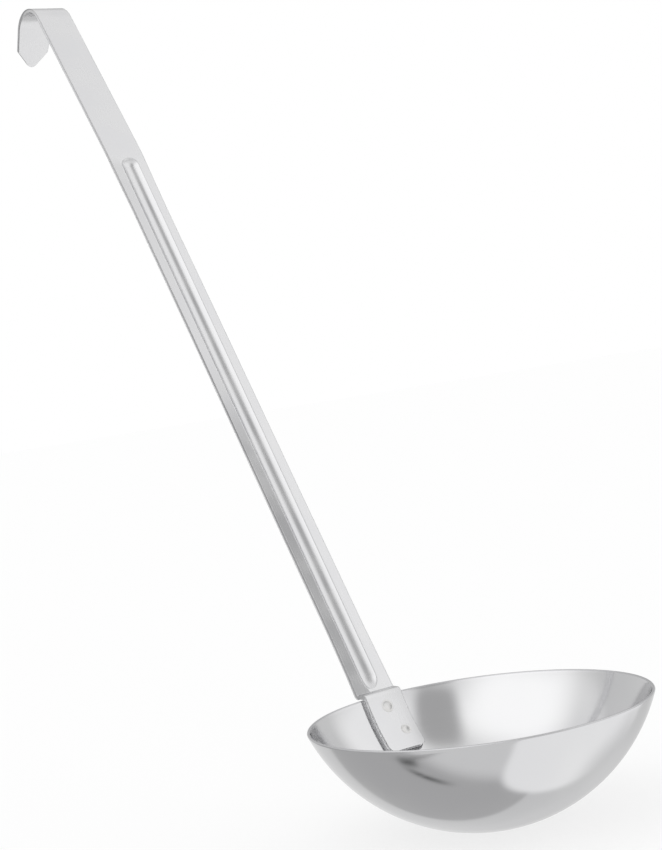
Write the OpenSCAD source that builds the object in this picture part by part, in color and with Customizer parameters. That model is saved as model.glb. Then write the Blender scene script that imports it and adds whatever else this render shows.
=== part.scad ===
// Soup ladle: a deep-drawn bowl and a pressed strip handle, joined by two spot welds.
// Lengths are in millimetres. The bowl's axis is along Z, the strip's width runs along Y and
// the handle leans towards -X. The origin is the centre of the hook's bend.

/* [Bowl] */
// Outer diameter at the rim
bowl_d = 136; // [90:1:200]
// Outer depth from the rim to the lowest point
bowl_depth = 47; // [30:0.5:62]
// Thickness of the drawn sheet
bowl_wall = 1.2; // [0.8:0.1:2]

/* [Handle strip] */
// Width of the strip
strip_w = 19; // [14:0.5:26]
// Thickness of the strip
strip_t = 1.9; // [1.2:0.1:3]
// Lean of the grooved run away from upright, in degrees
handle_lean = 30.2; // [10:0.1:40]
// Length of the grooved run, from the rim step to the slight bend above it
lower_len = 290; // [180:1:420]
// Lean of the flat run below the hook, in degrees
upper_lean = 33.3; // [20:0.1:45]
// Length of the flat run, from the slight bend to the hook
upper_len = 90.8; // [40:1:160]
// Radius of the front face at the slight bend
bend_r = 60; // [20:5:200]

/* [Stiffening groove] */
// Width of the groove at the front face
groove_w = 7.6; // [5:0.1:10]
// Depth of the groove
groove_depth = 1.8; // [1:0.1:2.5]
// Rounding along the groove's lip
groove_lip_r = 1.2; // [0.5:0.1:2]
// Plain strip between the rim step and the groove
groove_start = 2.5; // [1:0.5:20]
// Plain strip between the groove and the slight bend
groove_stop = 1; // [1:0.5:20]
// How far each edge is drawn in where the groove is pressed
edge_draw = 0.5; // [0:0.1:1]
// Length over which an edge returns to the full width
edge_run = 30; // [10:1:60]

/* [Hook] */
// Inner radius of the hook's bend
hook_r = 12.7; // [8:0.1:20]
// Angle that the bend turns through, in degrees
hook_sweep = 115; // [110:1:170]
// Straight length from the bend to the corners of the tongue
tongue_len = 12; // [6:0.5:30]
// Width of the tongue at its corners
tongue_w = 17.4; // [10:0.2:26]
// Length from the corners to the tip
tip_len = 8.5; // [4:0.5:12]
// Rounding of the tip
tip_r = 3.5; // [1.5:0.5:4]

/* [Tab and rim step] */
// Length of the tab down the bowl's wall
tab_len = 23.5; // [18:0.5:32]
// Rounding of the tab's lower corners
tab_corner_r = 4.5; // [1:0.5:7]
// Distance from the rim's outer edge to the front of the handle
rim_step = 1.7; // [1.5:0.1:5]
// Front radius where the step turns up into the handle
step_r = 0.8; // [0.5:0.1:1.5]
// Clearance between the strip and the bowl
seat_gap = 0.05; // [0.02:0.01:0.2]

/* [Spot welds] */
// Diameter of a weld nugget
weld_d = 4; // [3:0.1:6]
// Clearance round a nugget
weld_fit = 0.02; // [0.01:0.01:0.05]
// Radius of the dished mark that the electrode leaves
weld_dish_r = 6; // [4:0.5:12]
// Distance of the upper weld below the rim, along the wall
upper_weld_at = 5; // [4:0.5:8]
// Distance of the lower weld below the rim, along the wall
lower_weld_at = 17; // [13:0.5:18]
// Sideways offset of the upper weld
upper_weld_y = 0; // [-5:0.5:5]
// Sideways offset of the lower weld
lower_weld_y = 3.5; // [-5:0.5:5]

/* [Hidden] */
$fn = 128;
// Overlap of solids that are joined into one piece
join = 0.5;
// Reach of a cutting solid past what it cuts
clear = 20;
// Angle at which the groove's lip meets the strip's face, in degrees
lip_break = 8;
// Height of the step where one stretch of the strip laps into the next
lap_step = 0.01;
// Length over which a bend laps into the stretches beside it
bend_lap = 0.3;
// Length over which the ledge laps onto the wrap round the rim
ledge_lap = 0.1;

// The bowl's mid-surface is a sphere that passes through the centre of the rounded rim
rim_r = bowl_wall / 2;
rim_at = bowl_d / 2 - rim_r;
mid_depth = bowl_depth - bowl_wall;
mid_r = (rim_at * rim_at + mid_depth * mid_depth) / (2 * mid_depth);
outer_r = mid_r + rim_r;
inner_r = mid_r - rim_r;
centre_z = mid_r - bowl_depth + rim_r;
rim_polar = acos((centre_z + rim_r) / mid_r);

// The tab seats on the bowl's inner sphere and wraps round the rim
tab_back_r = inner_r - seat_gap;
tab_front_r = tab_back_r - strip_t;
wrap_r = rim_r + seat_gap;
tab_end_polar = rim_polar - arc_deg(tab_len, tab_back_r);
tab_w = strip_w - 2 * lap_step;
wrap_reach = norm([rim_at, strip_w / 2]) - rim_at + join;

// Headings of the strip's edge view, from level: up the handle and over the hook
lower_heading = 90 - handle_lean;
upper_heading = 90 - upper_lean;

// Front face of the strip in its edge view, measured from the bowl's axis and rim
step_tangent = step_r * tan(lower_heading / 2);
ledge_len = bowl_d / 2 + rim_step - step_tangent - rim_at;
run_len = lower_len - step_tangent;
hook_outer_r = hook_r + strip_t;
step_corner = [bowl_d / 2 + rim_step, seat_gap + strip_t];
bend_start = step_corner + lower_len * along(lower_heading);
bend_end = bend_start + bend_r * (behind(lower_heading) - behind(upper_heading));
hook_start = bend_end + upper_len * along(upper_heading);
hook_centre = hook_start + hook_outer_r * behind(upper_heading);

// The groove's floor is an arc across the strip, and its lip is a smaller arc tangent to it
groove_r = (groove_w * groove_w / 4 + groove_depth * groove_depth) / (2 * groove_depth);
groove_axis = groove_r - groove_depth;
lip_sink = groove_lip_r * cos(lip_break);
lip_at = sqrt(pow(groove_r + groove_lip_r, 2) - pow(groove_axis + lip_sink, 2));
groove_run = run_len - groove_start - groove_stop - 2 * lip_at;

// Depth of a weld's dish, which meets the nugget's edge on the tab's front
dish_depth = weld_dish_r - sqrt(pow(weld_dish_r, 2) - pow(weld_d / 2, 2));

// Angle of an arc from its length and radius
function arc_deg(length, r) = length / r * 180 / PI;
// Unit vector along a heading of the edge view
function along(heading) = [cos(heading), sin(heading)];
// Unit vector from the strip's front to its back at a heading of the edge view
function behind(heading) = [sin(heading), -cos(heading)];

// Part of a flat ring, from the -Y direction anticlockwise through an angle. Children are
// placed as they would be at its start and turned round with it.
module arc(r_in, r_out, turn) {
    reach = 2 * r_out;
    intersection() {
        difference() {
            circle(r = r_out);
            circle(r = r_in);
        }
        translate([0, -reach])
            square([reach, 2 * reach]);
        rotate(turn)
            translate([-reach, -reach])
                square([reach, 2 * reach]);
    }
    rotate(turn)
        children();
}

// Frames of the strip's edge view have X along the strip and Y from its front to its back.
// These move one past a bend towards the front, and past a bend towards the back.
module past_forward(front_r, turn) {
    translate([0, -front_r])
        mirror([0, 1, 0])
            rotate(turn)
                mirror([0, 1, 0])
                    translate([0, front_r])
                        children();
}

module past_back(front_r, turn) {
    translate([0, front_r])
        rotate(turn)
            translate([0, -front_r])
                children();
}

// Frame where the strip leaves the rim
module at_ledge() {
    translate([0, centre_z])
        rotate(rim_polar)
            translate([0, -mid_r])
                mirror([0, 1, 0])
                    rotate(rim_polar)
                        translate([0, -wrap_r - strip_t])
                            children();
}

// Frame where the step ends and the grooved run starts
module at_lower_run() {
    at_ledge()
        translate([ledge_len, 0])
            past_forward(step_r, lower_heading)
                children();
}

// Frame where the slight bend starts
module at_bend() {
    at_lower_run()
        translate([run_len, 0])
            children();
}

// Frame where the flat run starts
module at_upper_run() {
    at_bend()
        past_back(bend_r, lower_heading - upper_heading)
            children();
}

// Frame where the hook's bend starts
module at_hook() {
    at_upper_run()
        translate([upper_len, 0])
            children();
}

// Frame where the hook's bend ends
module at_tongue() {
    at_hook()
        past_back(hook_outer_r, hook_sweep)
            children();
}

// Stands the edge view up, with the strip's width along Y
module stand_up() {
    rotate([90, 0, 180])
        children();
}

// Frame on the strip's face: X along it, Y across it and Z from its front to its back
module on_face() {
    rotate([-90, 0, 0])
        children();
}

// Frame on the bowl's wall: Z outwards, X up the wall, at an angle from the lowest point
module on_wall(polar, y = 0) {
    translate([0, 0, centre_z])
        rotate([0, 0, -asin(y / (tab_back_r * sin(polar)))])
            rotate([0, 180 + polar, 0])
                children();
}

// Moves the assembly so that the centre of the hook's bend is the origin
module from_hook() {
    translate([hook_centre.x, 0, -hook_centre.y])
        children();
}

module weld_core(at, y, r) {
    on_wall(rim_polar - arc_deg(at, tab_back_r), y)
        translate([0, 0, tab_front_r - clear / 2])
            cylinder(r = r, h = outer_r - tab_front_r + clear);
}

module weld_pockets() {
    weld_core(upper_weld_at, upper_weld_y, weld_d / 2);
    weld_core(lower_weld_at, lower_weld_y, weld_d / 2);
}

// Nugget of one weld, with the electrode's dished mark on the tab and a flush outer face
module spot_weld(at, y) {
    color([0.72, 0.73, 0.74])
        from_hook()
            difference() {
                intersection() {
                    weld_core(at, y, weld_d / 2 - weld_fit);
                    translate([0, 0, centre_z])
                        sphere(r = outer_r);
                }
                translate([0, 0, centre_z])
                    sphere(r = tab_front_r);
                on_wall(rim_polar - arc_deg(at, tab_back_r), y)
                    translate([0, 0, tab_front_r + dish_depth - weld_dish_r])
                        sphere(r = weld_dish_r);
            }
}

// Half section of the bowl, from its axis out to its rounded rim
module bowl_section() {
    translate([0, centre_z])
        arc(inner_r, outer_r, rim_polar)
            translate([0, -mid_r])
                circle(r = rim_r);
}

module bowl() {
    color([0.80, 0.81, 0.83])
        from_hook()
            difference() {
                rotate_extrude()
                    bowl_section();
                weld_pockets();
            }
}

// Half section of the tab, its wrap round the rim and the start of the ledge
module tab_section() {
    lap = arc_deg(bend_lap, wrap_r + strip_t);
    wrap_front_r = wrap_r + strip_t - lap_step;
    translate([0, centre_z])
        rotate(rim_polar) {
            mirror([1, 0, 0])
                arc(tab_front_r, tab_back_r, rim_polar - tab_end_polar / 2);
            translate([0, -mid_r])
                mirror([0, 1, 0])
                    rotate(-lap)
                        arc(wrap_r + lap_step, wrap_front_r, rim_polar + lap)
                            translate([0, -wrap_front_r])
                                square([wrap_reach, strip_t - 2 * lap_step]);
        }
}

// Outline of the tab seen square to the wall at its lower end, which is at X = 0
module tab_outline() {
    for (side = [-1, 1])
        translate([tab_corner_r, side * (tab_w / 2 - tab_corner_r)])
            circle(r = tab_corner_r);
    translate([0, tab_corner_r - tab_w / 2])
        square([2 * tab_corner_r, tab_w - 2 * tab_corner_r]);
    translate([tab_corner_r, -tab_w / 2])
        square([tab_len + clear, tab_w]);
}

module tab() {
    intersection() {
        rotate_extrude()
            tab_section();
        on_wall(tab_end_polar)
            linear_extrude(height = outer_r + clear)
                tab_outline();
    }
}

// Bend of the strip's edge view, about the origin, lapped into the flat stretch at each end
module strip_bend(r_in, turn) {
    lap = arc_deg(bend_lap, r_in + strip_t);
    rotate(-lap)
        arc(r_in + lap_step, r_in + strip_t - lap_step, turn + 2 * lap);
}

// Bend towards the strip's back, from the start of a frame of its edge view
module bend_back(front_r, turn) {
    translate([0, front_r])
        strip_bend(front_r - strip_t, turn);
}

// Edge view of the strip from the rim to the end of the hook's bend
module strip_section() {
    at_ledge() {
        translate([-ledge_lap, 0])
            square([ledge_len + ledge_lap, strip_t]);
        translate([ledge_len, -step_r])
            mirror([0, 1, 0])
                strip_bend(step_r, lower_heading);
    }
    at_lower_run()
        square([run_len, strip_t]);
    at_bend()
        bend_back(bend_r, lower_heading - upper_heading);
    at_upper_run()
        square([upper_len, strip_t]);
    at_hook()
        bend_back(hook_outer_r, hook_sweep);
}

// Outline of the tongue: straight sides to its corners, then a rounded spade tip
module tongue_outline() {
    tip_at = tongue_len + tip_len - tip_r;
    to_corner = [tongue_len - tip_at, tongue_w / 2];
    touch = atan2(to_corner.y, to_corner.x) - acos(tip_r / norm(to_corner));
    inset_r = 0.997 * tip_r;
    polygon([
        [0, strip_w / 2],
        [join, strip_w / 2],
        [tongue_len, tongue_w / 2],
        [tip_at + inset_r * cos(touch), inset_r * sin(touch)],
        [tip_at + inset_r * cos(touch), -inset_r * sin(touch)],
        [tongue_len, -tongue_w / 2],
        [join, -strip_w / 2],
        [0, -strip_w / 2]
    ]);
    translate([tip_at, 0])
        circle(r = tip_r);
}

// Half of the groove's section, from its middle line outwards: X across, Y into the strip
module groove_half() {
    difference() {
        intersection() {
            union() {
                translate([0, -groove_axis])
                    circle(r = groove_r);
                polygon([[0, -groove_axis], [lip_at, lip_sink], [lip_at, -groove_axis]]);
            }
            translate([0, -join])
                square([lip_at, join + groove_depth]);
        }
        translate([lip_at, lip_sink])
            circle(r = groove_lip_r);
    }
}

// Half of the ridge that the groove raises on the back of the strip
module ridge_half() {
    intersection() {
        translate([0, -groove_axis])
            circle(r = groove_r + strip_t);
        translate([0, strip_t / 2])
            square([groove_r + strip_t, groove_depth + strip_t]);
    }
}

// Runs a half section along the groove and turns it round at both ends
module along_groove() {
    translate([groove_start + lip_at, 0, 0]) {
        for (side = [0, 1])
            mirror([0, side, 0])
                rotate([90, 0, 90])
                    linear_extrude(height = groove_run)
                        children();
        rotate([0, 0, 90])
            rotate_extrude(angle = 180)
                children();
        translate([groove_run, 0, 0])
            rotate([0, 0, -90])
                rotate_extrude(angle = 180)
                    children();
    }
}

// Slivers that the pressing draws off both edges of the grooved run
module drawn_edges() {
    for (side = [0, 1])
        mirror([0, side, 0])
            translate([0, 0, -join])
                linear_extrude(height = strip_t + 2 * join)
                    polygon([
                        [groove_start - edge_run, strip_w / 2 + edge_draw],
                        [groove_start + edge_run, strip_w / 2 - edge_draw],
                        [run_len - groove_stop - edge_run, strip_w / 2 - edge_draw],
                        [run_len - groove_stop + edge_run, strip_w / 2 + edge_draw]
                    ]);
}

// The strip beyond the rim, in the frame of its edge view
module strip() {
    difference() {
        union() {
            linear_extrude(height = strip_w, center = true)
                strip_section();
            at_tongue()
                on_face()
                    linear_extrude(height = strip_t)
                        tongue_outline();
            at_lower_run()
                on_face()
                    along_groove()
                        ridge_half();
        }
        at_lower_run()
            on_face() {
                along_groove()
                    groove_half();
                drawn_edges();
            }
    }
}

module handle() {
    color([0.76, 0.77, 0.78])
        from_hook()
            difference() {
                union() {
                    tab();
                    stand_up()
                        strip();
                }
                weld_pockets();
            }
}

module upper_spot_weld() {
    spot_weld(upper_weld_at, upper_weld_y);
}

module lower_spot_weld() {
    spot_weld(lower_weld_at, lower_weld_y);
}

bowl();
handle();
upper_spot_weld();
lower_spot_weld();
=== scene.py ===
"""Finish of the soup ladle: a polished bowl, a satin strip handle and two spot-weld marks."""

import math

import bpy
import numpy as np
from mathutils import Matrix, Vector

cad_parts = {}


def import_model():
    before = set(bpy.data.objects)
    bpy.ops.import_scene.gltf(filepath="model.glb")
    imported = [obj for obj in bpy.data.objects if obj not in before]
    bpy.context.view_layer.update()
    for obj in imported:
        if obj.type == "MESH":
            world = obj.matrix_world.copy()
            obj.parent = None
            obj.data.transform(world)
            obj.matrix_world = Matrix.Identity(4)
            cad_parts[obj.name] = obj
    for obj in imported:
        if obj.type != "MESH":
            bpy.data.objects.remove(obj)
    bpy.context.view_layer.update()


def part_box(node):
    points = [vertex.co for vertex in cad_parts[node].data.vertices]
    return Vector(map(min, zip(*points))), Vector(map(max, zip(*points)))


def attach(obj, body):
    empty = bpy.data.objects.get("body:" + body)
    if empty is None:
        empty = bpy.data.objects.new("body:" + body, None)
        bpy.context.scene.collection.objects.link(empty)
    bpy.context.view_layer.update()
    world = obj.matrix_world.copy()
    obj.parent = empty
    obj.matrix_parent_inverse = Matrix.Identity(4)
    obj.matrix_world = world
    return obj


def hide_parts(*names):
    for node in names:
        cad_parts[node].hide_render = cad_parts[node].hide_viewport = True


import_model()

MM = 0.001

# Bowl: a spherical dish drawn from one sheet, with a rounded rim
BOWL_D = 136 * MM
BOWL_DEPTH = 47 * MM
BOWL_WALL = 1.2 * MM

# Depths below the rim's top, as shares of its radius, where its own finish starts and is full
RIM_EDGE_BAND = (1.0, 0.6)

# Handle: a pressed strip. Its run and the flat stretch above it have their own headings, with a
# wide bend between them. The hook's radius is its inner one. The strip tapers along the tongue
# to a rounded tip, whose last row spans an arc of twice its turn.
STRIP_W = 19 * MM
STRIP_T = 1.9 * MM
LOWER_HEADING = math.radians(90 - 30.2)
UPPER_HEADING = math.radians(90 - 33.3)
LOWER_LEN = 290 * MM
UPPER_LEN = 90.8 * MM
BEND_R = 60 * MM
HOOK_R = 12.7 * MM
HOOK_SWEEP = math.radians(115)
TONGUE_LEN = 12 * MM
TONGUE_W = 17.4 * MM
TIP_LEN = 8.5 * MM
TIP_R = 3.5 * MM
TIP_LAST_TURN = math.radians(40)

# Handle's lower end: the tab on the bowl's wall, the gap to the wall, and how far outside the
# rim the run starts
TAB_LEN = 26.3 * MM
TAB_CORNER_R = 3.2 * MM
SEAT_GAP = 0.05 * MM
RIM_STEP = 1.7 * MM
STEP_R = 0.5 * MM

# Rounding of the strip's front and back edges on the tab, the run and the hook
TAB_EDGE_R = 0.6 * MM
RUN_EDGE_R = 0.35 * MM
HOOK_EDGE_R = 0.5 * MM
BACK_EDGE_R = 0.15 * MM
HOOK_BACK_EDGE_R = 0.45 * MM

# Stiffening groove: its section, the slope at which its lip's arc meets the face, and how far
# inside the run's two ends it stops
GROOVE_W = 9.0 * MM
GROOVE_DEPTH = 1.8 * MM
GROOVE_LIP_R = 0.6 * MM
LIP_SLOPE = math.radians(8)
GROOVE_START = 0.4 * MM
GROOVE_STOP = 1 * MM

# Its deepest line lies off the middle, to the left at the bowl's end and a little to the right
# at the hook's end. At the bowl's end its right lip is drawn in, and its round end is drawn out.
LOW_SHIFT = 2.2 * MM
HIGH_SHIFT = -0.3 * MM
LOW_RIGHT_DRAW = 1.1 * MM
LOW_RUN_OUT = 1.5

# Fillet of the ridge behind the groove, how far the strip's edges are drawn in beside it, and
# the length at each end on which this grows
RIDGE_FILLET = 0.25 * MM
EDGE_DRAW = 0.5 * MM
EDGE_RUN = 30 * MM

# Lean of the flanges beside the groove: at the bowl's end and the hook's end of the run, the
# stretch of the run on which it eases from one to the other, and the right flange's share of it
LOW_LEAN = math.radians(13)
HIGH_LEAN = math.radians(2.5)
LEAN_EASE = (70 * MM, 190 * MM)
RIGHT_SHARE = 0.4

# Offset from which the left flange leans next to the ledge, and the length of the run on which
# this moves out to the groove's lip
LEFT_INNER = 3.2 * MM
END_LEN = 9 * MM

# Spot welds: distance below the rim along the wall, sideways offset and mark radius
UPPER_WELD = (5 * MM, 0.0, 2.1 * MM)
LOWER_WELD = (17 * MM, 3.5 * MM, 1.7 * MM)

# Weld marks: depth of the dish, height of the lip, and the lip's middle, its spread and the
# mark's reach as shares of the mark's radius. A mark's face stands just proud of the tab's, its
# rim is tucked under it, its underside is plain, and its seat in the tab is deeper than its dish.
MARK_DISH = 0.25 * MM
MARK_LIP = 0.04 * MM
MARK_LIP_AT = 1.05
MARK_LIP_SPREAD = 0.14
MARK_REACH = 1.35
MARK_PROUD = 0.02 * MM
MARK_TUCK = 0.01 * MM
MARK_UNDERSIDE = 0.45 * MM
SEAT_DEPTH = 1.5 * MARK_DISH

# Colour and roughness of two edge finishes: a darker, rougher one on the rim's top and along the
# strip's edges, and a matte one on the tab's shear-cut sides, whose colour lighter than steel is
# painted light that shows them lit
DARK_EDGE_FINISH = ((0.5, 0.5, 0.51), 0.34)
SHEARED_PAINTED_LIGHT_FINISH = ((0.88, 0.88, 0.885), 0.75)

# Share of the grain, against the duller patches, in the steel's roughness, and the parts of
# the noises' range that its roughness and its colour run through
GRAIN_SHARE = 0.3
ROUGHNESS_RANGE = (0.35, 0.65)
COLOUR_RANGE = (0.3, 0.7)

# Camera: where it stands, the azimuth and the elevation it looks from and its roll, in degrees,
# and its lens and sensor in millimetres
CAMERA_AT = (0.867588, -0.44255, -0.179775)
CAMERA_BEARING = (56.263, 2.055)
CAMERA_ROLL = -8.343
LENS = 80.47
SENSOR_HEIGHT = 36

# White floor: half its side, its paint, and how far the camera sees it lit up to white
FLOOR_SIZE = 6.0
FLOOR_TONE = 0.87
FLOOR_LIT = 0.75

# Studio: a pale backdrop and the cards that the steel shows. Each has the azimuth and the
# elevation of its middle, its turn, half its length and height at unit distance, the softness
# of its edges as a share of that, and its brightness, where 1 is white. The higher the power,
# the squarer their corners.
CORNER_POWER = 4
BACKDROP = 0.84
CARDS = {
    "ceiling": ((60, 72), 0, (2.6, 2.6), 0.35, 1.08),
    "far softbox": ((153, 38), 0, (0.6, 0.42), 0.4, 1.28),
    "key softbox": ((15, 52), 0, (0.65, 0.48), 0.5, 1.52),
    "dark flag": ((96, 51), 60, (0.4, 0.23), 0.35, 0.56),
    "grey back wall": ((-130, 24), 0, (0.4, 0.32), 0.6, 0.6),
    "dark left wall": ((-58, -6), 0, (0.5, 0.18), 0.45, 0.42),
    "grey right wall": ((-158, -28), 0, (0.5, 0.25), 0.6, 0.72),
    "grey near floor": ((0, -51), 0, (1.9, 1.48), 0.03, 0.59),
    "lighter floor": ((70, -35), 0, (1.8, 1.0), 0.25, 0.9),
    "white far floor": ((140, -40), 45, (0.9, 0.76), 0.08, 1.22),
    "grey right floor": ((-160, -40), 0, (0.28, 0.22), 0.8, 0.85),
    "dark blot": ((-21, -53), -40, (0.07, 0.04), 0.7, 0.15),
    "dark streak": ((-26, -64), -80, (0.13, 0.025), 0.9, 0.12),
    "thin dark streak": ((-8, -53), -10, (0.18, 0.012), 0.9, 0.2),
}

# Derived sizes of the bowl, about its axis and the plane of its rim
RIM_R = BOWL_WALL / 2
RIM_AT = BOWL_D / 2 - RIM_R
MID_DEPTH = BOWL_DEPTH - BOWL_WALL
MID_R = (RIM_AT**2 + MID_DEPTH**2) / (2 * MID_DEPTH)
CENTRE_Z = MID_R - BOWL_DEPTH + RIM_R
RIM_POLAR = math.acos((CENTRE_Z + RIM_R) / MID_R)
TAB_BACK_R = MID_R - RIM_R - SEAT_GAP
TAB_FRONT_R = TAB_BACK_R - STRIP_T
TAB_END_POLAR = RIM_POLAR - TAB_LEN / TAB_BACK_R
WRAP_R = RIM_R + SEAT_GAP + STRIP_T
STEP_TANGENT = STEP_R * math.tan(LOWER_HEADING / 2)
LEDGE_LEN = BOWL_D / 2 + RIM_STEP - STEP_TANGENT - RIM_AT
RUN_LEN = LOWER_LEN - STEP_TANGENT
HOOK_FRONT_R = HOOK_R + STRIP_T

# The strip's front face from the tab's end to the tongue's tip: length and turn of each
# stretch, where a turn towards the back is negative
STRETCHES = {
    "tab": (TAB_FRONT_R * (RIM_POLAR - TAB_END_POLAR), RIM_POLAR - TAB_END_POLAR),
    "wrap": (WRAP_R * RIM_POLAR, -RIM_POLAR),
    "ledge": (LEDGE_LEN, 0.0),
    "step": (STEP_R * LOWER_HEADING, LOWER_HEADING),
    "run": (RUN_LEN, 0.0),
    "bend": (BEND_R * (LOWER_HEADING - UPPER_HEADING), UPPER_HEADING - LOWER_HEADING),
    "upper": (UPPER_LEN, 0.0),
    "hook": (HOOK_FRONT_R * HOOK_SWEEP, -HOOK_SWEEP),
    "tongue": (TONGUE_LEN, 0.0),
    "tip": (TIP_LEN, 0.0),
}
STARTS = dict(zip(STRETCHES, np.cumsum([0.0] + [length for length, _ in STRETCHES.values()])))
STRIP_LEN = sum(length for length, _ in STRETCHES.values())

# Groove section: a floor arc and a lip arc tangent to it
GROOVE_R = (GROOVE_W**2 / 4 + GROOVE_DEPTH**2) / (2 * GROOVE_DEPTH)
GROOVE_AXIS = GROOVE_R - GROOVE_DEPTH
LIP_SINK = GROOVE_LIP_R * math.cos(LIP_SLOPE)
LIP_AT = math.sqrt((GROOVE_R + GROOVE_LIP_R) ** 2 - (GROOVE_AXIS + LIP_SINK) ** 2)
FLOOR_HALF = LIP_AT * GROOVE_R / (GROOVE_R + GROOVE_LIP_R)
GROOVE_FROM = STARTS["run"] + GROOVE_START + LIP_AT * LOW_RUN_OUT
GROOVE_TO = STARTS["run"] + RUN_LEN - GROOVE_STOP - LIP_AT


def bowl_place():
    """Bowl's axis and rim height in the model's frame, from the bowl node's box."""
    low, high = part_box("bowl")
    return (low.x + high.x) / 2, low.z + BOWL_DEPTH


AXIS_X, RIM_Z = bowl_place()


def new_mesh(name, points, faces):
    """A smooth-shaded mesh object from an array of points and arrays of faces."""
    mesh = bpy.data.meshes.new(name)
    mesh.from_pydata(points, [], [face for group in faces for face in group.tolist()])
    mesh.shade_smooth()
    mesh.validate()
    piece = bpy.data.objects.new(name, mesh)
    bpy.context.scene.collection.objects.link(piece)
    return piece


def note_place(piece, flat):
    """Keeps each point's place on the flat strip, offset across it and length along it, for
    the grain of the steel."""
    places = np.column_stack([flat, np.zeros(len(flat))])
    layer = piece.data.attributes.new("strip_place", "FLOAT_VECTOR", "POINT")
    layer.data.foreach_set("vector", places.ravel().astype(np.float32))


def note_share(piece, name, share):
    """Keeps how far an edge finish shows at each point, from 0 to 1."""
    layer = piece.data.attributes.new(name, "FLOAT", "POINT")
    layer.data.foreach_set("value", share.astype(np.float32))


def grid_faces(index):
    """Quads between neighbouring rows and columns of a grid of point numbers."""
    corners = (index[:-1, :-1], index[1:, :-1], index[1:, 1:], index[:-1, 1:])
    return np.stack(corners, axis=-1).reshape(-1, 4)


def ring_faces(index):
    """Quads between neighbouring rows whose columns close on themselves."""
    return grid_faces(np.hstack([index, index[:, :1]]))


def fan_faces(pole, ring):
    """Triangles between a pole and a closed ring of point numbers."""
    return np.stack([np.full(len(ring), pole), ring, np.roll(ring, -1)], axis=-1)


def bowl_shell():
    """The bowl as a surface of revolution: radius and height run up the inner sphere, round
    the rim's half circle and down the outer sphere, and turn about the axis."""
    turns = 288
    rows = 80
    rim_rows = 14
    polar = np.linspace(0, RIM_POLAR, rows + 1)[1:]
    inner = MID_R - RIM_R
    outer = MID_R + RIM_R
    around = RIM_POLAR - np.linspace(0, np.pi, rim_rows + 1)[1:-1]
    radius = np.concatenate([
        inner * np.sin(polar),
        RIM_AT - RIM_R * np.sin(around),
        outer * np.sin(polar[::-1]),
    ])
    height = np.concatenate([
        CENTRE_Z - inner * np.cos(polar),
        -RIM_R + RIM_R * np.cos(around),
        CENTRE_Z - outer * np.cos(polar[::-1]),
    ])
    angle = np.linspace(0, 2 * np.pi, turns, endpoint=False)
    rings = np.stack([
        AXIS_X + radius[:, None] * np.cos(angle),
        radius[:, None] * np.sin(angle),
        RIM_Z + height[:, None] + 0 * angle,
    ], axis=-1).reshape(-1, 3)
    poles = [[AXIS_X, 0, RIM_Z + CENTRE_Z - inner], [AXIS_X, 0, RIM_Z + CENTRE_Z - outer]]
    index = np.arange(len(rings)).reshape(-1, turns)
    top = fan_faces(len(rings), index[0])
    bottom = fan_faces(len(rings) + 1, index[-1])[:, ::-1]
    return new_mesh("bowl_shell", np.vstack([rings, poles]), [ring_faces(index), top, bottom])


def follow_strip(along):
    """Radius, height and heading of the strip's front face at lengths along it: each stretch
    is a straight, or an arc whose heading turns evenly."""
    radius = np.zeros_like(along)
    height = np.zeros_like(along)
    heading = np.zeros_like(along)
    at = np.array([
        TAB_FRONT_R * math.sin(TAB_END_POLAR),
        CENTRE_Z - TAB_FRONT_R * math.cos(TAB_END_POLAR),
    ])
    facing = TAB_END_POLAR
    for name, (length, turn) in STRETCHES.items():
        start = STARTS[name]
        last = name == "tip"
        here = (along >= start) & ((along < start + length) | last)
        reach = np.append(along[here] - start, length)
        if turn:
            now = facing + turn / length * reach
            step = length / turn * np.stack([
                np.sin(now) - np.sin(facing),
                np.cos(facing) - np.cos(now),
            ])
        else:
            now = facing + 0 * reach
            step = reach * np.array([[math.cos(facing)], [math.sin(facing)]])
        radius[here] = at[0] + step[0, :-1]
        height[here] = at[1] + step[1, :-1]
        heading[here] = now[:-1]
        at = at + step[:, -1]
        facing = now[-1]
    return radius, height, heading


def on_strip(along, across, depth):
    """Points of the strip in the model's frame, from length along it, offset across it and
    depth behind its front face, which sags along the flanges. The tab and the wrap are
    turned about the bowl's axis, and the ledge blends that round form into the straight one."""
    radius, height, heading = follow_strip(along)
    depth = depth + flange_sag(along, across)
    radius = radius + depth * np.sin(heading)
    height = height - depth * np.cos(heading)
    round_at = np.sqrt(radius**2 - across**2)
    straight = np.clip((along - STARTS["ledge"]) / LEDGE_LEN, 0, 1)
    reach = round_at * (1 - straight) + radius * straight
    return np.stack([AXIS_X - reach, across, RIM_Z + height], axis=-1)


def groove_distance(along, across):
    """Distance from the groove's deepest line, stretched on each side of it so that the lips
    keep their place. The line ends in round ends, the bowl's one drawn out."""
    past = np.maximum(along - GROOVE_TO, 0) + np.maximum(GROOVE_FROM - along, 0) / LOW_RUN_OUT
    ends = [GROOVE_FROM, GROOVE_TO]
    deepest = -np.interp(along, ends, [LOW_SHIFT, HIGH_SHIFT])
    right = LIP_AT - np.interp(along, ends, [LOW_RIGHT_DRAW, 0])
    aside = across - deepest
    away = np.where(aside < 0, aside / (LIP_AT + deepest), aside / (right - deepest)) * LIP_AT
    return np.hypot(past, away)


def groove_depth(along, across):
    """Depth of the groove below the front face: a floor arc, then a lip arc."""
    away = groove_distance(along, across)
    floor_arc = np.sqrt(np.maximum(GROOVE_R**2 - away**2, 0)) - GROOVE_AXIS
    lip_arc = LIP_SINK - np.sqrt(np.maximum(GROOVE_LIP_R**2 - (LIP_AT - away) ** 2, 0))
    depth = np.where(away < FLOOR_HALF, floor_arc, np.where(away < LIP_AT, lip_arc, 0))
    return np.maximum(depth, 0)


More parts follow.
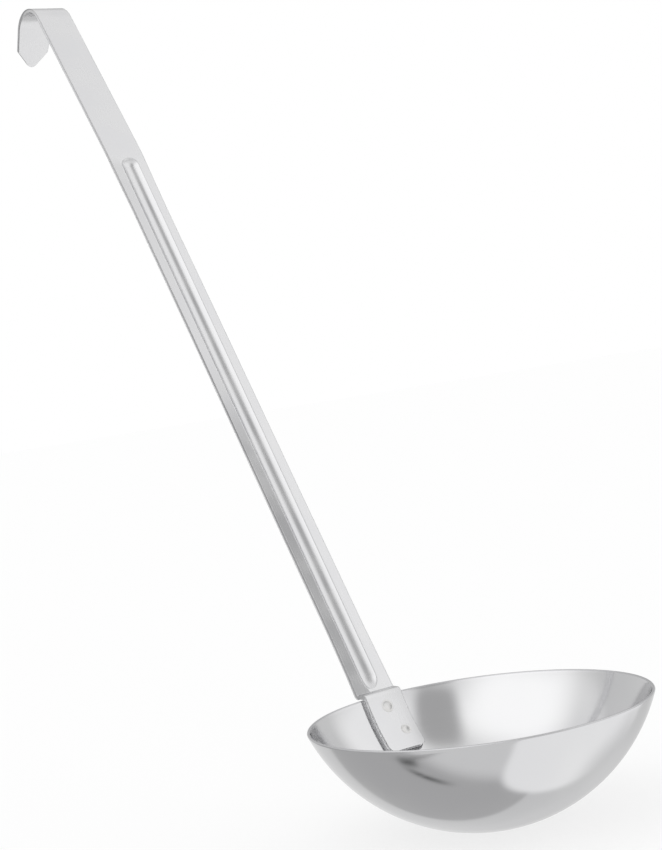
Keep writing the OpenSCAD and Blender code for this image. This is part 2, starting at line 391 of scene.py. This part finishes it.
def ridge_height(along, across):
    """Height of the ridge behind the groove: an arc about the floor's axis that a fillet
    blends into the back face."""
    away = groove_distance(along, across)
    arc = np.sqrt(np.maximum((GROOVE_R + STRIP_T) ** 2 - away**2, 0)) - GROOVE_AXIS - STRIP_T
    return (arc + np.sqrt(arc**2 + RIDGE_FILLET**2)) / 2


def flange_sag(along, across):
    """Depth by which the flanges lean back beyond the groove's lips: in straight lines, at an
    angle that eases along the run and fades out at both its ends. Next to the ledge the left
    one starts further in, beside the groove's end."""
    run = along - STARTS["run"]
    start, stop = LEAN_EASE
    ease = np.clip((run - start) / (stop - start), 0, 1)
    ease = ease**2 * (3 - 2 * ease)
    fade_at = [STARTS["step"], STARTS["run"], GROOVE_TO, STARTS["bend"]]
    lean = LOW_LEAN + (HIGH_LEAN - LOW_LEAN) * ease
    lean = lean * np.interp(along, fade_at, [0, 1, 1, 0])
    lean = lean * np.where(across > 0, RIGHT_SHARE, 1.0)
    inner = np.interp(run, [0, END_LEN], [LEFT_INNER, LIP_AT])
    inner = np.where(across > 0, LIP_AT, inner)
    return np.maximum(np.abs(across) - inner, 0) * np.tan(lean)


def weld_place(weld):
    """Length along the strip, sideways offset and radius of a weld's mark."""
    below, across, radius = weld
    return (TAB_LEN - below) * TAB_FRONT_R / TAB_BACK_R, across, radius


def weld_seat(along, across):
    """Depth of the shallow seats that the two weld marks lie in."""
    depth = np.zeros_like(along)
    for weld in (UPPER_WELD, LOWER_WELD):
        at, aside, radius = weld_place(weld)
        away = np.hypot(along - at, across - aside) / radius
        depth = np.maximum(depth, SEAT_DEPTH * np.clip(1 - away**2, 0, 1))
    return depth


def spread(*stops):
    """Numbers that run through the stops, each given with the count of steps that lead to it."""
    parts = [
        np.linspace(start, stop, count, endpoint=False)
        for (start, _), (stop, count) in zip(stops, stops[1:])
    ]
    return np.concatenate(parts + [[stops[-1][0]]])


def strip_rows():
    """Lengths along the strip of the grid's straight rows, between the tab's corners and the
    tongue's tip."""
    return spread(
        (TAB_CORNER_R, 0),
        (STARTS["wrap"], 38),
        (STARTS["ledge"], 14),
        (STARTS["step"], 4),
        (STARTS["run"], 10),
        (GROOVE_FROM + LIP_AT, 60),
        (GROOVE_TO - LIP_AT, 150),
        (STARTS["bend"], 44),
        (STARTS["upper"], 4),
        (STARTS["hook"], 50),
        (STARTS["tongue"], 64),
        (STARTS["tip"], 14),
    )


def half_width(along):
    """Half of the strip's width: drawn in beside the groove and tapered along the tongue."""
    start = STARTS["run"] + GROOVE_START
    stop = STARTS["run"] + RUN_LEN - GROOVE_STOP
    draw_at = [start, start + EDGE_RUN, stop - EDGE_RUN, stop]
    draw = np.interp(along, draw_at, [0, EDGE_DRAW, EDGE_DRAW, 0])
    taper = np.interp(along, [STARTS["tongue"], STARTS["tip"]], [0, (STRIP_W - TONGUE_W) / 2])
    return STRIP_W / 2 - draw - taper


def edge_round(along):
    """Radius that rounds the front edges, larger on the tab and the hook than on the run."""
    stops = [STARTS[name] for name in ("wrap", "step", "upper", "hook")]
    return np.interp(along, stops, [TAB_EDGE_R, RUN_EDGE_R, RUN_EDGE_R, HOOK_EDGE_R])


def back_round(along):
    """Radius that rounds the back edges, larger on the hook than on the rest."""
    return np.interp(along, [STARTS["upper"], STARTS["hook"]], [BACK_EDGE_R, HOOK_BACK_EDGE_R])


def strip_columns():
    """Offsets of the grid's columns as shares of half the width, from left to right, closest
    together round the groove's lips."""
    inside_lip = FLOOR_HALF * 0.75 / (STRIP_W / 2)
    outside_lip = LIP_AT * 1.15 / (STRIP_W / 2)
    beside_edge = 0.95
    share = spread((0, 0), (inside_lip, 12), (outside_lip, 18), (beside_edge, 6), (1, 2))
    return np.concatenate([-share[:0:-1], share])


def tip_plan(share):
    """Length and offset of the points past the tongue: straight sides that run to where they
    touch the tip's arc, and rows that bow from straight ones into that arc."""
    side_rows = 6
    arc_rows = 8
    tip_at = STRIP_LEN - TIP_R
    tip_r = TIP_R - HOOK_EDGE_R
    run = tip_at - STARTS["tip"]
    edge = math.atan2(TONGUE_W / 2, -run)
    touch = edge - math.acos(TIP_R / math.hypot(run, TONGUE_W / 2))
    side = np.linspace(0, 1, side_rows + 1)[1:, None]
    side_along = STARTS["tip"] + side * (run + tip_r * math.cos(touch))
    side_half = (1 - side) * (TONGUE_W / 2 - HOOK_EDGE_R) + side * tip_r * math.sin(touch)
    turn = np.linspace(touch, TIP_LAST_TURN, arc_rows + 1)[1:, None]
    bow = np.linspace(0, 1, arc_rows + 1)[1:, None]
    chord = np.cos(turn)
    arc = np.sqrt(1 - (np.sin(turn) * share) ** 2)
    arc_along = tip_at + tip_r * (chord + bow * (arc - chord))
    arc_across = tip_r * np.sin(turn) * share
    along = np.vstack([side_along + 0 * share, arc_along])
    across = np.vstack([side_half * share, arc_across])
    return along, across


def strip_plan():
    """Length and offset of every point of the strip's flat plan, drawn in by the rounding of
    its edges: rows that widen along the tab's corner arcs, straight rows, and the tip's."""
    corner_rows = 14
    share = strip_columns()
    corner = TAB_CORNER_R - TAB_EDGE_R
    turn = np.linspace(0, np.pi / 2, corner_rows + 1)[:-1]
    corner_along = TAB_EDGE_R + corner * (1 - np.cos(turn))
    corner_half = STRIP_W / 2 - TAB_CORNER_R + corner * np.sin(turn)
    rows = strip_rows()
    row_along = np.concatenate([corner_along, rows])[:, None]
    row_half = np.concatenate([corner_half, half_width(rows) - edge_round(rows)])[:, None]
    tip_along, tip_across = tip_plan(share)
    along = np.vstack([row_along + 0 * share, tip_along])
    across = np.vstack([row_half * share, tip_across])
    return along, across


def note_edges(piece, faces, rim_along, turn, back_turn):
    """Keeps how far the darker, rougher edge finish shows, halfway round the front edges off the
    tab and towards the back face on the hook, and how far the tab's sides show their matte finish
    with painted light, a colour lighter than steel. The points of the two faces come first and
    have neither."""
    off_tab = np.interp(rim_along, [STARTS["wrap"], STARTS["ledge"]], [0, 1])
    on_hook = np.interp(rim_along, [STARTS["upper"], STARTS["hook"]], [0, 1])
    dark_edge = np.vstack([np.sin(2 * turn) * off_tab, np.cos(back_turn) * on_hook])
    # The tab's sides take a colour lighter than steel here: painted light that shows them lit.
    sheared_painted_light = np.sin(np.vstack([turn, back_turn])) * (1 - off_tab)
    note_share(piece, "dark_edge", np.concatenate([np.zeros(faces), dark_edge.ravel()]))
    note_share(piece, "sheared_painted_light", np.concatenate([np.zeros(faces), sheared_painted_light.ravel()]))


def handle_strip():
    """The handle as a plate on its plan: a front and a back grid with the groove, its ridge
    and the weld seats as depths, joined by rows that round both edges by quarter circles."""
    front_rows = 7
    back_rows = 4
    along, across = strip_plan()
    rows, columns = along.shape
    front = on_strip(along, across, groove_depth(along, across) + weld_seat(along, across))
    back = on_strip(along, across, STRIP_T + ridge_height(along, across))

    index = np.arange(rows * columns).reshape(rows, columns)
    rim = np.concatenate([index[0, :-1], index[:-1, -1], index[-1, :0:-1], index[:0:-1, 0]])
    rim_along = along.ravel()[rim]
    rim_across = across.ravel()[rim]
    tangent = np.stack([
        np.roll(rim_along, -1) - np.roll(rim_along, 1),
        np.roll(rim_across, -1) - np.roll(rim_across, 1),
    ])
    tangent = tangent / np.hypot(*tangent)
    turn = np.linspace(0, np.pi / 2, front_rows + 1)[1:, None]
    back_turn = np.linspace(np.pi / 2, 0, back_rows)[:, None]
    front_r = edge_round(rim_along)
    back_r = back_round(rim_along)
    outwards = np.vstack([
        front_r * np.sin(turn),
        front_r - back_r * (1 - np.sin(back_turn)),
    ])
    depths = np.vstack([
        front_r * (1 - np.cos(turn)),
        STRIP_T - back_r * (1 - np.cos(back_turn)),
    ])
    edge = on_strip(
        rim_along + outwards * tangent[1],
        rim_across - outwards * tangent[0],
        depths,
    )

    count = rows * columns
    edge_index = 2 * count + np.arange(outwards.size).reshape(outwards.shape)
    wall = ring_faces(np.vstack([rim, edge_index, rim + count]))
    faces = [grid_faces(index)[:, ::-1], grid_faces(index + count), wall]
    points = np.vstack([front.reshape(-1, 3), back.reshape(-1, 3), edge.reshape(-1, 3)])
    piece = new_mesh("handle_strip", points, faces)
    flat = np.column_stack([across.ravel(), along.ravel()])
    edge_flat = np.tile(np.column_stack([rim_across, rim_along]), (len(outwards), 1))
    note_place(piece, np.vstack([flat, flat, edge_flat]))
    note_edges(piece, 2 * count, rim_along, turn, back_turn)
    return piece


def weld_mark(name, weld):
    """A weld's mark on the tab: a shallow dish inside a low raised lip that runs out to the
    tab's face, closed by a plain underside. It is a profile of depths over shares of the mark's
    radius, turned about the mark's middle."""
    turns = 64
    rings = 27
    at, aside, radius = weld_place(weld)
    share = np.append(np.linspace(0, MARK_REACH, rings + 1)[1:], MARK_REACH)
    dish = MARK_DISH * np.clip(1 - share**2, 0, None)
    lip = MARK_LIP * np.exp(-(((share - MARK_LIP_AT) / MARK_LIP_SPREAD) ** 2))
    depth = dish - lip - MARK_PROUD
    depth[-2:] = MARK_TUCK, MARK_UNDERSIDE
    angle = np.linspace(0, 2 * np.pi, turns, endpoint=False)
    away = radius * share[:, None]
    along = np.append(at + away * np.cos(angle), [at, at])
    across = np.append(aside + away * np.sin(angle), [aside, aside])
    depth = np.append(depth[:, None] + 0 * angle, [MARK_DISH - MARK_PROUD, MARK_UNDERSIDE])
    index = np.arange(away.size * turns).reshape(-1, turns)
    top = fan_faces(index.size, index[0])[:, ::-1]
    bottom = fan_faces(index.size + 1, index[-1])
    faces = [ring_faces(index)[:, ::-1], top, bottom]
    piece = new_mesh(name, on_strip(along, across, depth), faces)
    note_place(piece, np.column_stack([across, along]))
    return piece


def node(tree, kind, inputs=None, **settings):
    """A shader node with its settings. Its inputs take plain values or the sockets that feed
    them."""
    made = tree.nodes.new("ShaderNode" + kind)
    for name, value in settings.items():
        setattr(made, name, value)
    for name, value in (inputs or {}).items():
        if isinstance(value, bpy.types.NodeSocket):
            tree.links.new(value, made.inputs[name])
        else:
            made.inputs[name].default_value = value
    return made


def maths(tree, operation, first, second=0.0):
    """Output of a Math node."""
    return node(tree, "Math", {0: first, 1: second}, operation=operation).outputs[0]


def vector_maths(tree, operation, first, second, output):
    """Output of a Vector Math node."""
    return node(tree, "VectorMath", {0: first, 1: second}, operation=operation).outputs[output]


def ramp(tree, value, start, stop, low=0.0, high=1.0):
    """Output of a Map Range node that eases from low to high between start and stop."""
    inputs = {"Value": value, "From Min": start, "From Max": stop, "To Min": low, "To Max": high}
    return node(tree, "MapRange", inputs, interpolation_type="SMOOTHSTEP").outputs["Result"]


def mix(tree, share, first, second):
    """Output of a Mix node of two values, whose sockets go by number."""
    return node(tree, "Mix", {"Factor": share, 2: first, 3: second}).outputs[0]


def mix_colours(tree, share, first, second):
    """Output of a Mix node of two colours, whose sockets go by number."""
    inputs = {"Factor": share, 6: first, 7: second}
    return node(tree, "Mix", inputs, data_type="RGBA").outputs[2]


def new_group(name, inputs, outputs):
    """An empty shader node group with its named sockets, and its input and output nodes."""
    group = bpy.data.node_groups.new(name, "ShaderNodeTree")
    for socket, kind in inputs.items():
        group.interface.new_socket(name=socket, in_out="INPUT", socket_type="NodeSocket" + kind)
    for socket, kind in outputs.items():
        group.interface.new_socket(name=socket, in_out="OUTPUT", socket_type="NodeSocket" + kind)
    given = group.nodes.new("NodeGroupInput").outputs
    result = group.nodes.new("NodeGroupOutput").inputs
    return group, given, result


def grain_group():
    """Polishing grain: noise stretched along the rubbing direction, which X crosses, and wide
    patches where the polish is duller."""
    group, given, result = new_group(
        "polishing grain",
        {"Place": "Vector", "Across": "Float", "Along": "Float", "Patch": "Float"},
        {"Grain": "Float", "Patches": "Float"},
    )
    place = node(group, "SeparateXYZ", {0: given["Place"]}).outputs
    stretched = node(group, "CombineXYZ", {
        "X": maths(group, "MULTIPLY", place["X"], given["Across"]),
        "Y": maths(group, "MULTIPLY", place["Y"], given["Along"]),
        "Z": maths(group, "MULTIPLY", place["Z"], given["Along"]),
    }).outputs[0]
    grain = node(group, "TexNoise", {
        "Vector": stretched,
        "Scale": 1,
        "Detail": 3,
        "Roughness": 0.6,
    })
    patches = node(group, "TexNoise", {
        "Vector": given["Place"],
        "Scale": given["Patch"],
        "Detail": 2,
        "Roughness": 0.5,
    })
    group.links.new(grain.outputs[0], result["Grain"])
    group.links.new(patches.outputs[0], result["Patches"])
    return group


def steel(name, grain, place, scales, roughness, bump, colours, edges=None):
    """Stainless steel with polishing grain: the patches shift its colour, and both shift its
    roughness between two values. Edges can take finishes of their own, such as a darker, rougher
    one, or a matte one whose lighter colour is painted light.
    The scales are the grain's across and along the rubbing direction and the patches', and the
    bump is its strength and its distance."""
    material = bpy.data.materials.new(name)
    material.use_nodes = True
    tree = material.node_tree
    shader = tree.nodes["Principled BSDF"]
    shader.inputs["Metallic"].default_value = 1
    across, along, patch = scales
    rubbed = node(tree, "Group", {
        "Place": place(tree),
        "Across": across,
        "Along": along,
        "Patch": patch,
    }, node_tree=grain).outputs
    dull = mix(tree, GRAIN_SHARE, rubbed["Patches"], rubbed["Grain"])
    rough = ramp(tree, dull, *ROUGHNESS_RANGE, *roughness)
    tint = ramp(tree, rubbed["Patches"], *COLOUR_RANGE)
    colour = mix_colours(tree, tint, *[(*tone, 1) for tone in colours])
    for mask, edge_colour, edge_roughness in edges(tree) if edges else ():
        colour = mix_colours(tree, mask, colour, (*edge_colour, 1))
        rough = mix(tree, mask, rough, edge_roughness)
    strength, distance = bump
    relief = node(tree, "Bump", {
        "Height": rubbed["Grain"],
        "Strength": strength,
        "Distance": distance,
    }).outputs[0]
    tree.links.new(rough, shader.inputs["Roughness"])
    tree.links.new(colour, shader.inputs["Base Color"])
    tree.links.new(relief, shader.inputs["Normal"])
    return material


def rings_place(tree):
    """Distance from the bowl's axis, then the two offsets from it: grain that runs in rings."""
    where = node(tree, "TexCoord").outputs["Object"]
    centred = node(tree, "Mapping", {"Vector": where, "Location": (-AXIS_X, 0, 0)}).outputs[0]
    part = node(tree, "SeparateXYZ", {0: centred}).outputs
    x_square = maths(tree, "MULTIPLY", part["X"], part["X"])
    y_square = maths(tree, "MULTIPLY", part["Y"], part["Y"])
    radius = maths(tree, "SQRT", maths(tree, "ADD", x_square, y_square))
    return node(tree, "CombineXYZ", {"X": radius, "Y": part["X"], "Z": part["Y"]}).outputs[0]


def strip_place(tree):
    """Offset across the strip, then length along it: grain that runs lengthwise."""
    return node(tree, "Attribute", attribute_name="strip_place").outputs["Vector"]


def rim_edge(tree):
    """The bowl's rim, whose own finish starts with its rounding and is full a little above."""
    where = node(tree, "TexCoord").outputs["Object"]
    height = node(tree, "SeparateXYZ", {0: where}).outputs["Z"]
    start, stop = (RIM_Z - share * RIM_R for share in RIM_EDGE_BAND)
    return [(ramp(tree, height, start, stop), *DARK_EDGE_FINISH)]


def strip_edges(tree):
    """The darker, rougher finish along the strip's edges, and the tab's matte shear-cut sides,
    whose colour lighter than steel is painted light that shows them lit.
    """
    dark_edge = node(tree, "Attribute", attribute_name="dark_edge").outputs["Fac"]
    # Painted light: the tab's sides get a colour lighter than steel, so that they read lit.
    sheared_painted_light = node(tree, "Attribute", attribute_name="sheared_painted_light").outputs["Fac"]
    return [(dark_edge, *DARK_EDGE_FINISH), (sheared_painted_light, *SHEARED_PAINTED_LIGHT_FINISH)]


def dress(piece, solid, material):
    """Puts a material on a piece that stands for a CAD node."""
    piece.data.materials.append(material)
    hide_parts(solid)
    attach(piece, "root")


def floor():
    """A plain white floor under the bowl. The camera sees it lit up to white, apart from part
    of the ladle's shadow, and the steel shows the studio behind it."""
    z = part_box("bowl")[0].z
    corners = FLOOR_SIZE * np.array([[-1, -1, 0], [1, -1, 0], [1, 1, 0], [-1, 1, 0]]) + [0, 0, z]
    piece = new_mesh("floor", corners, [np.array([[0, 1, 2, 3]])])
    material = bpy.data.materials.new("white floor")
    material.use_nodes = True
    tree = material.node_tree
    paint = tree.nodes["Principled BSDF"]
    paint.inputs["Base Color"].default_value = (FLOOR_TONE, FLOOR_TONE, FLOOR_TONE, 1)
    paint.inputs["Roughness"].default_value = 1
    paint.inputs["Specular IOR Level"].default_value = 0
    rays = node(tree, "LightPath").outputs
    white = node(tree, "Emission").outputs[0]
    lit = node(tree, "MixShader", {
        0: maths(tree, "MULTIPLY", rays["Is Camera Ray"], FLOOR_LIT),
        1: paint.outputs[0],
        2: white,
    }).outputs[0]
    passing = maths(tree, "MAXIMUM", rays["Is Glossy Ray"], rays["Is Transmission Ray"])
    passing = maths(tree, "MAXIMUM", passing, rays["Is Shadow Ray"])
    seen = node(tree, "MixShader", {
        0: passing,
        1: lit,
        2: node(tree, "BsdfTransparent").outputs[0],
    }).outputs[0]
    tree.links.new(seen, tree.nodes["Material Output"].inputs["Surface"])
    piece.data.materials.append(material)


def bearing(azimuth, elevation):
    """Unit direction for an azimuth from the ladle's right side and an elevation, in degrees."""
    azimuth, elevation = math.radians(azimuth), math.radians(elevation)
    return Vector((
        math.sin(azimuth) * math.cos(elevation),
        -math.cos(azimuth) * math.cos(elevation),
        math.sin(elevation),
    ))


def camera():
    """The photograph's viewpoint, fitted to the rim's ellipse and the handle's edges."""
    lens = bpy.data.cameras.new("camera")
    lens.sensor_fit = "VERTICAL"
    lens.sensor_height = SENSOR_HEIGHT
    lens.lens = LENS
    view = bpy.data.objects.new("camera", lens)
    back = bearing(*CAMERA_BEARING)
    level = Vector((0, 0, 1)).cross(back).normalized()
    upright = back.cross(level)
    roll = math.radians(CAMERA_ROLL)
    right = level * math.cos(roll) + upright * math.sin(roll)
    up = upright * math.cos(roll) - level * math.sin(roll)
    turned = Matrix((right, up, back)).transposed().to_4x4()
    view.matrix_world = Matrix.Translation(CAMERA_AT) @ turned
    bpy.context.scene.collection.objects.link(view)
    bpy.context.scene.camera = view


def card_group():
    """Mask of a studio card with rounded corners: how far off its middle a direction points
    along its two sides, over how far ahead, and eased out where the corner powers of both,
    as shares of half its length and height, add up to one."""
    group, given, result = new_group(
        "studio card",
        {
            "Direction": "Vector",
            "Facing": "Vector",
            "Side": "Vector",
            "Long": "Float",
            "High": "Float",
            "Soft": "Float",
        },
        {"Mask": "Float"},
    )
    ahead = vector_maths(group, "DOT_PRODUCT", given["Direction"], given["Facing"], "Value")
    rise = vector_maths(group, "CROSS_PRODUCT", given["Facing"], given["Side"], "Vector")
    powers = []
    for side, half in ((given["Side"], given["Long"]), (rise, given["High"])):
        off = vector_maths(group, "DOT_PRODUCT", given["Direction"], side, "Value")
        share = maths(group, "DIVIDE", off, maths(group, "MULTIPLY", ahead, half))
        powers.append(maths(group, "POWER", maths(group, "ABSOLUTE", share), CORNER_POWER))
    away = maths(group, "POWER", maths(group, "ADD", *powers), 1 / CORNER_POWER)
    inner = maths(group, "SUBTRACT", 1, given["Soft"])
    outer = maths(group, "ADD", 1, given["Soft"])
    mask = ramp(group, away, inner, outer, 1.0, 0.0)
    mask = maths(group, "MULTIPLY", mask, maths(group, "GREATER_THAN", ahead, 0))
    group.links.new(mask, result["Mask"])
    return group


def world():
    """A white studio with soft cards round the ladle, which only the steel shows: the camera
    sees plain white."""
    studio = bpy.data.worlds.new("studio")
    studio.use_nodes = True
    bpy.context.scene.world = studio
    tree = studio.node_tree
    towards = node(tree, "TexCoord").outputs["Generated"]
    group = card_group()
    light = BACKDROP
    for card in CARDS.values():
        (azimuth, elevation), turn, (half_long, half_high), soft, brightness = card
        facing = bearing(azimuth, elevation)
        level = facing.cross(Vector((0, 0, 1))).normalized()
        side = Matrix.Rotation(math.radians(turn), 3, facing) @ level
        mask = node(tree, "Group", {
            "Direction": towards,
            "Facing": facing,
            "Side": side,
            "Long": half_long,
            "High": half_high,
            "Soft": soft,
        }, node_tree=group).outputs[0]
        light = mix(tree, mask, light, brightness)
    to_camera = node(tree, "LightPath").outputs["Is Camera Ray"]
    light = mix(tree, to_camera, light, 1.0)
    background = tree.nodes["Background"]
    background.inputs["Color"].default_value = (1, 1, 1, 1)
    tree.links.new(light, background.inputs["Strength"])


grain = grain_group()
polished = steel(
    "polished bowl steel",
    grain,
    place=rings_place,
    scales=(2500, 12, 30),
    roughness=(0.1, 0.16),
    bump=(0.03, 0.01 * MM),
    colours=((0.585, 0.585, 0.595), (0.615, 0.615, 0.62)),
    edges=rim_edge,
)
satin = steel(
    "satin strip steel",
    grain,
    place=strip_place,
    scales=(2500, 25, 50),
    roughness=(0.22, 0.3),
    bump=(0.04, 0.01 * MM),
    colours=((0.59, 0.59, 0.6), (0.62, 0.62, 0.625)),
    edges=strip_edges,
)
marked = steel(
    "weld mark steel",
    grain,
    place=strip_place,
    scales=(900, 900, 300),
    roughness=(0.2, 0.3),
    bump=(0.06, 0.02 * MM),
    colours=((0.55, 0.545, 0.535), (0.6, 0.598, 0.595)),
)
dress(bowl_shell(), "bowl", polished)
dress(handle_strip(), "handle", satin)
dress(weld_mark("upper_weld_mark", UPPER_WELD), "upper_spot_weld", marked)
dress(weld_mark("lower_weld_mark", LOWER_WELD), "lower_spot_weld", marked)
floor()
world()
camera()
bpy.context.scene.view_settings.view_transform = "Standard"
